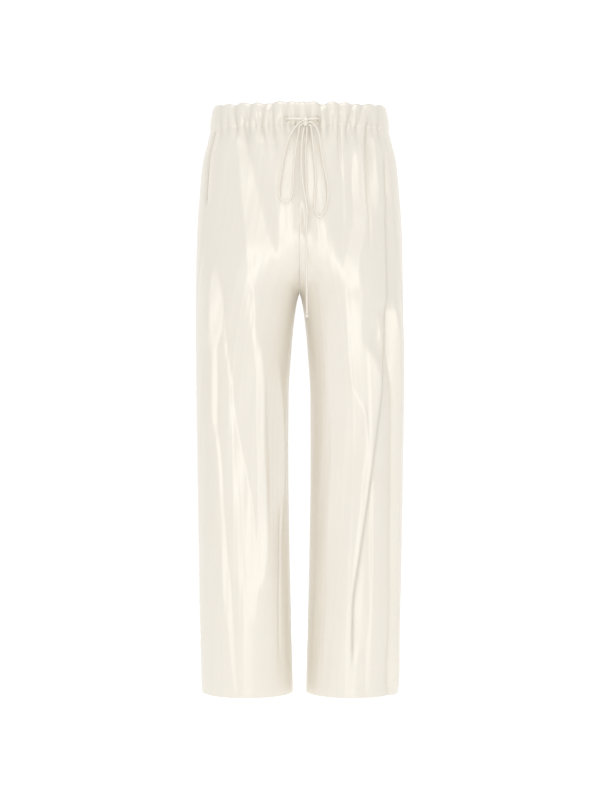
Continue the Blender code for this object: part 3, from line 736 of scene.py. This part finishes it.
def cloth_grid(points, along, down, painted_shade):
    """A grid of cloth, made flat and then laid on its points, with a UV map in metres and an attribute of
    the shade painted at each point.
    """
    rows, columns = points.shape[:2]
    mesh = bmesh.new()
    bmesh.ops.create_grid(mesh, x_segments=columns - 1, y_segments=rows - 1, size=0.5)
    mesh.verts.ensure_lookup_table()
    uv = mesh.loops.layers.uv.new("cloth")
    painted_shade_layer = mesh.verts.layers.float.new("painted_shade")
    cells = {}
    for vert in mesh.verts:
        column = round((vert.co.x + 0.5) * (columns - 1))
        row = round((0.5 - vert.co.y) * (rows - 1))
        cells[vert.index] = (row, column)
        vert.co = points[row, column]
        vert[painted_shade_layer] = min(painted_shade[row, column], 1.0)
    for face in mesh.faces:
        for loop in face.loops:
            row, column = cells[loop.vert.index]
            loop[uv].uv = (along[row, column], down[row, column])
    return mesh


def linked(name, data):
    """An object with this data, in the scene."""
    made = bpy.data.objects.new(name, data)
    bpy.context.scene.collection.objects.link(made)
    return made


def mesh_object(name, mesh, finish):
    """A smooth object from its bmesh, with its finish."""
    data = bpy.data.meshes.new(name)
    mesh.to_mesh(data)
    mesh.free()
    data.shade_smooth()
    data.materials.append(finish)
    return linked(name, data)


def in_frame(piece, node):
    """Puts a piece in the frame, in the place of its node if it has one."""
    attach(piece, BODY)
    if node:
        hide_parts(node)
    return piece


def finished(name, mesh, finish, node):
    """Makes the piece from its bmesh and puts it in the frame."""
    return in_frame(mesh_object(name, mesh, finish), node)


def whole(right, left):
    """Two halves of a grid as one, from the right side seam to the left one."""
    return np.concatenate([right[:, ::-1], left[:, 1:]], axis=1)


def face_outward(mesh, axis_x, pick):
    """Turns all faces, if need be, so that the picked one looks away from an upright axis."""
    mesh.normal_update()
    mesh.faces.ensure_lookup_table()
    face = pick(mesh.faces)
    centre = face.calc_center_median()
    if face.normal.dot(centre - Vector((axis_x, 0.0, centre.z))) < 0:
        bmesh.ops.reverse_faces(mesh, faces=mesh.faces)


def thicken(piece, thickness):
    wall = piece.modifiers.new("Cloth", "SOLIDIFY")
    wall.thickness = thickness
    wall.offset = -1.0
    wall.use_even_offset = False
    piece.modifiers.new("Even shading", "WEIGHTED_NORMAL").weight = 90


class Value:
    """A socket of a node tree that adds Math nodes when it is used in a sum."""

    def __init__(self, tree, socket):
        self.tree = tree
        self.socket = socket

    def _math(self, operation, first, second=None):
        node = self.tree.node("ShaderNodeMath", {"operation": operation}, first, second)
        return node[0]

    def __add__(self, other):
        return self._math("ADD", self, other)

    def __radd__(self, other):
        return self._math("ADD", other, self)

    def __sub__(self, other):
        return self._math("SUBTRACT", self, other)

    def __rsub__(self, other):
        return self._math("SUBTRACT", other, self)

    def __mul__(self, other):
        return self._math("MULTIPLY", self, other)

    def __rmul__(self, other):
        return self._math("MULTIPLY", other, self)


class Finish:
    """The node tree of a material or a world, with one method that makes any node."""

    def __init__(self, owner):
        self.owner = owner
        owner.use_nodes = True
        self.tree = owner.node_tree
        self.shader = self.tree.nodes.get("Principled BSDF") or self.tree.nodes["Background"]

    def node(self, kind, settings, *values, **named):
        """Adds a node, sets it up and feeds its sockets. It returns the node's outputs."""
        made = self.tree.nodes.new(kind)
        for name, value in settings.items():
            setattr(made, name, value)
        for place, value in list(enumerate(values)) + list(named.items()):
            if value is not None:
                key = place.replace("_", " ") if isinstance(place, str) else place
                self.feed(made.inputs[key], value)
        return [Value(self, socket) for socket in made.outputs]

    def feed(self, socket, value):
        if isinstance(value, Value):
            self.tree.links.new(value.socket, socket)
        else:
            socket.default_value = value

    def mix(self, share, first, second):
        """The first colour, and as much of the second as share says."""
        unused = [None] * 5
        return self.node("ShaderNodeMix", {"data_type": "RGBA"}, share, *unused, first, second)[2]

    def set(self, name, value):
        self.feed(self.shader.inputs[name], value)


def satin_finish(name, settings, across_scale=1.0, uses_uv=True):
    """Ivory satin: fine lengthwise floats, a soft uneven gloss, a little depth of colour, and shade
    painted into the colour where the cloth's painted_shade attribute asks for it.
    """
    finish = Finish(bpy.data.materials.new(name))
    place = finish.node("ShaderNodeTexCoord", {})
    object_place, uv_place = place[3], place[2]
    cloud = finish.node(
        "ShaderNodeTexNoise", {"noise_dimensions": "3D"}, Vector=object_place,
        Scale=CLOUD_SCALE, Detail=3.0)
    colour = finish.mix(cloud[0], (*settings.colour, 1.0), (*settings.deep_colour, 1.0))
    # Painted shade: the colour is darkened towards the painted shade colour in creases, overlaps and the
    # pocket slot.
    painted_shade = finish.node("ShaderNodeAttribute", {"attribute_name": "painted_shade"})[2]
    finish.set("Base Color", finish.mix(painted_shade, colour, (*settings.painted_shade_colour, 1.0)))
    source = uv_place if uses_uv else object_place
    stretched = finish.node(
        "ShaderNodeMapping", {"vector_type": "POINT"}, Vector=source,
        Scale=(FLOATS_ACROSS * across_scale, FLOATS_DOWN, FLOATS_ACROSS * across_scale))
    floats = finish.node("ShaderNodeTexNoise", {}, Vector=stretched[0], Scale=1.0, Detail=2.0)
    gloss = (floats[0] - 0.5) * FLOAT_GLOSS
    finish.set("Roughness", settings.roughness + gloss + (cloud[0] - 0.5) * CLOUD_GLOSS)
    bump = finish.node(
        "ShaderNodeBump", {}, Strength=FLOAT_BUMP, Distance=FLOAT_HEIGHT, Height=floats[0])
    finish.set("Normal", bump[0])
    for socket, value in SATIN_SOCKETS.items():
        finish.set(socket, value)
    return finish.owner


def thread_finish(name, settings):
    """Sewing thread: matt, with a fine twist."""
    finish = Finish(bpy.data.materials.new(name))
    place = finish.node("ShaderNodeTexCoord", {})
    twist = finish.node("ShaderNodeTexNoise", {}, Vector=place[3], Scale=TWIST_SCALE, Detail=1.0)
    dark = (*[TWIST_DARK * c for c in settings.thread_colour], 1.0)
    finish.set("Base Color", finish.mix(twist[0], (*settings.thread_colour, 1.0), dark))
    finish.set("Roughness", THREAD_ROUGHNESS + (twist[0] - 0.5) * TWIST_GLOSS)
    return finish.owner


def made_once(name, make, context, *details):
    """The finish of this name, made from the user's settings when it is first asked for."""
    return bpy.data.materials.get(name) or make(name, context.scene.satin_finish, *details)


def satin(context):
    return made_once("ivory_satin", satin_finish, context)


def cord_satin(context):
    return made_once("ivory_cord", satin_finish, context, CORD_FLOATS, False)


def front_depth(x, z):
    """How far the plain front stands out from the middle plane at this place."""
    half_width = (level("outer", z) - level("inner", z)) / 2
    middle = (level("outer", z) + level("inner", z)) / 2
    return float(level("front", z) * np.sqrt(max(1 - ((abs(x) - middle) / half_width) ** 2, 0.0)))


def rest_face(x, z, radius):
    """The Y of a cord's middle where it hangs against the front, or free below the seat."""
    lift = CORD_LIFT_BELOW + (CORD_LIFT_AT_CASING - CORD_LIFT_BELOW) * float(
        ease((z - CORD_LIFT_FADE_END) / (CORD_LIFT_FADE_TOP - CORD_LIFT_FADE_END)))
    return -(front_depth(x, max(z, FORK_ZONE_TOP)) + lift + radius)


def knot_exit(face, place, radius):
    """The two points on which a strand leaves a face of the knot squarely."""
    along = {"right": Vector((-1, 0, 0)), "left": Vector((1, 0, 0)), "bottom": Vector((0, 0, -1))}[face]
    across = Vector((0, 0, 1)) if face != "bottom" else Vector((1, 0, 0))
    half = KNOT_HALF.z if face == "bottom" else KNOT_HALF.x
    start = KNOT_CENTRE + along * (half + STRAND_GAP) + across * place
    return [start, start + along * 1.5 * radius]


def on_curve(corners, share):
    """A point between the middle two of four corners, on a centripetal Catmull-Rom curve."""
    knots = [0.0]
    for a, b in zip(corners, corners[1:]):
        knots.append(knots[-1] + math.sqrt((b - a).length))
    at = knots[1] + (knots[2] - knots[1]) * share
    points = list(corners)
    for spans in (((0, 1), (1, 2), (2, 3)), ((0, 2), (1, 3)), ((1, 2),)):
        points = [
            a + (b - a) * ((at - knots[low]) / (knots[high] - knots[low]))
            for a, b, (low, high) in zip(points, points[1:], spans)
        ]
    return points[0]


def smooth_route(points, step):
    """Points about `step` apart on a smooth curve through these points, which it keeps."""
    ends = [points[0] * 2 - points[1]] + points + [points[-1] * 2 - points[-2]]
    route = []
    for corners in zip(ends, ends[1:], ends[2:], ends[3:]):
        count = max(round((corners[2] - corners[1]).length / step), 1)
        route += [on_curve(corners, i / count) for i in range(count)]
    return route + [points[-1]]


def strand_points(strand, radius):
    """The strand's route in space: it leaves the knot level with it, then lies on the front."""
    level_y = KNOT_CENTRE.y
    points = knot_exit(*strand.start, radius)
    for x, z in strand.route:
        over = 2 * strand.layer * (radius + STRAND_GAP)
        away = float(ease((KNOT_CENTRE.z - KNOT_ROUNDING - z) / CORD_FALL_FROM_KNOT))
        points.append(Vector((x, level_y + (rest_face(x, z, radius) - over - level_y) * away, z)))
    if strand.end:
        points += reversed(knot_exit(*strand.end, radius))
    return points


def cord_curve(name, route, radius, finish, node=None):
    """A round cord along its route, whose thickness varies a little as a sewn rouleau's does."""
    curve = bpy.data.curves.new(name, "CURVE")
    curve.dimensions = "3D"
    curve.bevel_depth = 1.0
    curve.bevel_resolution = 4
    curve.use_fill_caps = True
    curve.materials.append(finish)
    spline = curve.splines.new("POLY")
    spline.points.add(len(route) - 1)
    for index, (point, place) in enumerate(zip(spline.points, route)):
        point.co = (*place, 1.0)
        swell = math.sin(1.7 * index) * math.sin(0.61 * index + 0.8)
        point.radius = radius * (1 + CORD_UNEVENNESS * swell)
    spline.use_smooth = True
    return in_frame(linked(name, curve), node)


def route_length(route):
    return sum((b - a).length for a, b in zip(route, route[1:]))


class TROUSERS_OT_studio(bpy.types.Operator):
    """Pale floor and backdrop, soft studio light and the camera"""

    bl_idname = "trousers.studio"
    bl_label = "Studio"

    def execute(self, context):
        sizes = context.scene.studio_sizes
        camera = linked("camera", bpy.data.cameras.new("camera"))
        camera.data.lens = sizes.lens
        camera.data.sensor_width = SENSOR_WIDTH
        camera.location = (0.0, -sizes.distance, sizes.eye_height)
        camera.rotation_euler = (math.radians(90), 0.0, 0.0)
        context.scene.camera = camera
        self.backdrop(sizes)
        for name, (place, size, power) in SOFT_BOXES.items():
            self.soft_box(name, place, size, power)
        world = bpy.data.worlds.new("studio")
        surround = Finish(world)
        surround.set("Color", SURROUND_COLOUR)
        surround.set("Strength", sizes.surround)
        context.scene.world = world
        context.scene.view_settings.view_transform = "Standard"
        return {"FINISHED"}

    def soft_box(self, name, place, size, power):
        light = bpy.data.lights.new(name, "AREA")
        light.shape = "RECTANGLE"
        light.size, light.size_y = size
        light.energy = power
        lamp = linked(name, light)
        lamp.location = place
        lamp.visible_camera = False
        aim = Vector(LIGHTS_AIM_AT) - Vector(place)
        lamp.rotation_euler = aim.to_track_quat("-Z", "Y").to_euler()

    def backdrop(self, sizes):
        """A wide floor that curves up into a wall far behind."""
        mesh = bmesh.new()
        front, back, reach, height = -6.0, 5.0, 9.0, 6.0
        bend, steps = 1.5, 16
        line = [(front, sizes.floor), (back - bend, sizes.floor)]
        line += [
            (back - bend + bend * math.sin(a), sizes.floor + bend - bend * math.cos(a))
            for a in (math.radians(90 * i / steps) for i in range(1, steps + 1))
        ]
        line += [(back, sizes.floor + height)]
        verts = [mesh.verts.new((-reach, y, z)) for y, z in line]
        edges = [mesh.edges.new(pair) for pair in zip(verts, verts[1:])]
        made = bmesh.ops.extrude_edge_only(mesh, edges=edges)
        far = [item for item in made["geom"] if isinstance(item, bmesh.types.BMVert)]
        bmesh.ops.translate(mesh, verts=far, vec=(2 * reach, 0.0, 0.0))
        bmesh.ops.recalc_face_normals(mesh, faces=mesh.faces)
        finish = Finish(bpy.data.materials.new("paper"))
        for socket, value in PAPER_SOCKETS.items():
            finish.set(socket, value)
        paper = mesh_object("backdrop", mesh, finish.owner)


class TROUSERS_OT_leg_panels(bpy.types.Operator):
    """The four leg panels, with their gathers, folds and turned-up hems"""

    bl_idname = "trousers.leg_panels"
    bl_label = "Leg panels"

    def execute(self, context):
        sizes = context.scene.cloth_sizes
        for panel in ("front_right", "front_left", "back_right", "back_left"):
            self.make(panel, sizes, satin(context))
        return {"FINISHED"}

    def outline(self, sizes):
        """The rows' z and inset: down from inside the casing, round the hem and up inside."""
        top = CASING_SEAM + TUCK
        share = np.linspace(0.0, 1.0, LEG_ROWS + 1)
        down = top + (HEM + TURN_START - top) * share**ROW_BIAS
        turn_z = [HEM + above for above, _ in TURN_ROWS]
        turn_inset = [inward * HEM_TURN for _, inward in TURN_ROWS]
        up = np.linspace(HEM + LAYER_START, HEM + sizes.hem_depth, LAYER_ROWS)
        tucked = ease((down - CASING_SEAM) / TUCK) * TUCK_INSET
        inset = np.concatenate([tucked, turn_inset, np.full(len(up), HEM_TURN)])
        return np.concatenate([down, turn_z, up]), inset

    def make(self, panel, sizes, finish):
        z, inset = self.outline(sizes)
        form = Form(panel, z, np.linspace(0.0, 1.0, LEG_COLUMNS + 1))
        lay_ripples(form, sizes.ripple)
        form.height *= ease(form.arc / RIPPLE_SEAM_EASE)
        form.face_bands()
        for fold in FOLDS:
            if fold.panel == panel:
                form.lay(*in_metres((fold.path, fold.width, fold.height)), fold.lean, hanging_fade)
        for overlap in OVERLAPS:
            if overlap.panel == panel:
                form.lay_overlap(*in_metres((overlap.path, overlap.drop)))
        lay_creases(form)
        form.flatten_at_seams()
        lay_puckers(form, sizes.pucker)
        form.height -= CASING_LINE * bell(z - CASING_SEAM, CASING_LINE_WIDTH)[:, None]
        form.height += FULLNESS * ease((z - FULLNESS_FOOT) / FULLNESS_EASE)[:, None]
        form.height -= HEM_LINE * bell(z - HEM - sizes.hem_depth, HEM_LINE_WIDTH)[:, None]
        points = form.points(inset[:, None])
        down = np.concatenate([[0.0], np.cumsum(np.abs(np.diff(z)) + np.abs(np.diff(inset)))])
        down = np.broadcast_to(down[:, None], form.arc.shape)
        mesh = cloth_grid(points, form.arc, down, form.painted_shade)
        face_outward(mesh, form.side * LEG_AXIS, lambda faces: faces[len(faces) // 2])
        piece = finished("cloth_" + panel, mesh, finish, panel)
        thicken(piece, sizes.thickness)
        "waistband_" + form.half


class TROUSERS_OT_casing(bpy.types.Operator):
    """The gathered casing at the waist, folded over at its top edge"""

    bl_idname = "trousers.casing"
    bl_label = "Casing"

    def execute(self, context):
        sizes = context.scene.cloth_sizes
        for half in ("front", "back"):
            self.make(half, sizes, satin(context))
        return {"FINISHED"}

    def outline(self):
        """The rows' z, how far they stand out and where they lie along the casing's outline."""
        points = np.array(CASING_OUTLINE) / 1000
        travelled = np.concatenate([[0], np.cumsum(np.hypot(*np.diff(points, axis=0).T))])
        at = np.linspace(0, travelled[-1], CASING_ROWS + 1)
        z = smooth_through(travelled, points[:, 0], at)
        out = smooth_through(travelled, points[:, 1], at)
        return z, out, at

    def half_form(self, panel, z):
        form = Form(panel, z, np.linspace(0.0, 1.0, CASING_COLUMNS // 2 + 1))
        lay_creases(form)
        draw = np.random.default_rng(WRINKLE_SEED[form.half])
        for _ in range(WRINKLES_A_PANEL):
            x, slant, top, foot, height, width = [draw.uniform(*pair) for pair in WRINKLE_LIMITS]
            x *= form.side
            form.lay(((top, x), (foot, x + slant)), width, height, 0.0, arched_fade)
        form.flatten_at_seams()
        return form

    def make(self, half, sizes, finish):
        z, out, at = self.outline()
        forms = [self.half_form(half + side, z) for side in ("_right", "_left")]
        top_share = ease((z - SCALLOP_START) / SCALLOP_EASE)[:, None]
        grids = []
        for form in forms:
            crest = form.height[int(np.argmax(z))]
            lift = top_share * sizes.scallop * (crest / CREST_HEIGHT + CREST_BASE)[None, :]
            inner_share = ease((-out - INNER_LAYER_START) / INNER_LAYER_EASE)[:, None]
            form.height *= 1 - INNER_LAYER_LOSS * inner_share
            form.height += FULLNESS - CASING_LINE * bell(z - CASING_SEAM, CASING_LINE_WIDTH)[:, None]
            grids.append(form.points(-out[:, None], lift))
        right, left = grids
        points = whole(right, left)
        arc = whole(-forms[0].arc, forms[1].arc)
        painted_shade = whole(forms[0].painted_shade, forms[1].painted_shade)
        mesh = cloth_grid(points, arc, np.broadcast_to(at[:, None], arc.shape), painted_shade)
        face_outward(mesh, 0.0, lambda faces: min(faces, key=lambda face: face.calc_center_median().z))
        piece = finished("casing_" + half, mesh, finish, "waistband_" + half)
        thicken(piece, sizes.thickness)


class TROUSERS_OT_drawstring(bpy.types.Operator):
    """The drawstring: leads, knot, loops and free ends"""

    bl_idname = "trousers.drawstring"
    bl_label = "Drawstring"

    def execute(self, context):
        sizes = context.scene.cord_sizes
        finish = cord_satin(context)
        self.knot(sizes, finish)
        self.leads(sizes, finish)
        end_knot = self.end_knot(finish)
        for name, strand in STRANDS.items():
            route = smooth_route(strand_points(strand, sizes.radius), CORD_STEP)
            piece = cord_curve(name.replace("drawstring", "cord"), route, sizes.radius, finish, name)
            round(route_length(route), 3)
            2 * sizes.radius
        return {"FINISHED"}

    def leads(self, sizes, finish):
        for side in ("right", "left"):
            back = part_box("drawstring_lead_" + side)[1].y
            ring = middle_and_half("buttonhole_" + side)[0]
            toward = 1 if side == "right" else -1
            arrival = list(reversed(knot_exit(side, LEAD_ON_KNOT, sizes.radius)))
            mouth = Vector((ring.x, back + LEAD_INSIDE_CASING, ring.z))
            out = Vector((ring.x, (back + arrival[0].y) / 2, ring.z))
            turn = Vector((ring.x + toward * 2 * sizes.radius, arrival[0].y, ring.z))
            route = smooth_route([mouth, out, turn] + arrival, CORD_STEP)
            cord_curve("cord_lead_" + side, route, sizes.radius, finish, "drawstring_lead_" + side)

    def knot(self, sizes, finish):
        """The core of the knot, and the strand that wraps round it twice."""
        mesh = bmesh.new()
        bmesh.ops.create_uvsphere(mesh, u_segments=40, v_segments=28, radius=1.0)
        core = Vector([share * half for share, half in zip(KNOT_CORE, KNOT_HALF)])
        for vert in mesh.verts:
            turn = math.atan2(vert.co.y, vert.co.x)
            lobes = 1 + KNOT_LOBE * math.cos(5 * turn + 3 * vert.co.z)
            vert.co = Vector((vert.co.x * lobes, vert.co.y, vert.co.z)) * core + KNOT_CENTRE
        finished("knot_core", mesh, finish, "drawstring_knot")
        for name, height, tilt in WRAPS:
            route = []
            for i in range(WRAP_STEPS + 1):
                turn = 2 * math.pi * i / WRAP_STEPS
                route.append(KNOT_CENTRE + Vector((
                    KNOT_HALF.x * WRAP_WIDTH * math.cos(turn),
                    -KNOT_HALF.y * WRAP_DEPTH * math.sin(turn),
                    height + tilt * KNOT_HALF.x * math.cos(turn))))
            cord_curve(name, route, sizes.radius * WRAP_THICKNESS, finish)

    def end_knot(self, finish):
        """The small knot at the tip of the long end."""
        centre, half = middle_and_half("drawstring_end_knot")
        mesh = bmesh.new()
        bmesh.ops.create_uvsphere(mesh, u_segments=32, v_segments=24, radius=1.0)
        for vert in mesh.verts:
            turn = math.atan2(vert.co.y, vert.co.x)
            lobes = 1 + END_KNOT_LOBE * math.cos(2 * turn + 5 * vert.co.z)
            vert.co = Vector((vert.co.x * lobes, vert.co.y * lobes, vert.co.z)) * half
            vert.co = vert.co * END_KNOT_SHARE + centre
        return finished("cord_end_knot", mesh, finish, "drawstring_end_knot")


class TROUSERS_OT_buttonholes(bpy.types.Operator):
    """The worked buttonholes that the drawstring comes out of"""

    bl_idname = "trousers.buttonholes"
    bl_label = "Buttonholes"

    def execute(self, context):
        thread = made_once("ivory_thread", thread_finish, context)
        for side in ("right", "left"):
            self.make(side, thread)
        return {"FINISHED"}

    def make(self, side, finish):
        """A ring of close stitches, each a small bump along the ring."""
        centre, half = middle_and_half("buttonhole_" + side)
        thread = half.y
        wide, tall = half.x - thread, half.z - half.x
        route = []
        for i in range(BUTTONHOLE_STEPS + 1):
            turn = 2 * math.pi * i / BUTTONHOLE_STEPS
            shift = tall * max(-1.0, min(1.0, BUTTONHOLE_SQUARENESS * math.sin(turn)))
            route.append(centre + Vector((
                wide * math.cos(turn), 0.0, shift + wide * math.sin(turn))))
        piece = cord_curve("worked_buttonhole_" + side, route, thread, finish,
                           "buttonhole_" + side)
        for index, point in enumerate(piece.data.splines[0].points):
            point.radius = thread * (1.0 if index % 2 else STITCH_DIP)


class TROUSERS_PT_panel(bpy.types.Panel):
    """The steps that make the trousers, in order"""

    bl_idname = "TROUSERS_PT_panel"
    bl_label = "Trousers"
    bl_space_type = "VIEW_3D"
    bl_region_type = "UI"
    bl_category = "Trousers"

    def draw(self, context):
        for step in STEPS:
            self.layout.operator(step.bl_idname)
        for group in SETTINGS:
            settings = getattr(context.scene, group)
            for name in settings.bl_rna.properties.keys():
                if name not in ("rna_type", "name"):
                    self.layout.prop(settings, name)


STEPS = (
    TROUSERS_OT_studio,
    TROUSERS_OT_leg_panels,
    TROUSERS_OT_casing,
    TROUSERS_OT_buttonholes,
    TROUSERS_OT_drawstring,
)
SETTINGS = {
    "cloth_sizes": ClothSizes,
    "satin_finish": SatinFinish,
    "cord_sizes": CordSizes,
    "studio_sizes": StudioSizes,
}


def register():
    for cls in (*SETTINGS.values(), *STEPS, TROUSERS_PT_panel):
        bpy.utils.register_class(cls)
    for name, group in SETTINGS.items():
        setattr(bpy.types.Scene, name, bpy.props.PointerProperty(type=group))


def unregister():
    for name in SETTINGS:
        delattr(bpy.types.Scene, name)
    for cls in reversed((*SETTINGS.values(), *STEPS, TROUSERS_PT_panel)):
        bpy.utils.unregister_class(cls)


def main():
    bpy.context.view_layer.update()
    register()
    for old in ("Cube", "Light", "Camera"):
        if old in bpy.data.objects:
            bpy.data.objects.remove(bpy.data.objects[old])
    bpy.ops.trousers.studio()
    bpy.ops.trousers.leg_panels()
    bpy.ops.trousers.casing()
    bpy.ops.trousers.buttonholes()
    bpy.ops.trousers.drawstring()


if __name__ == "__main__":
    main()
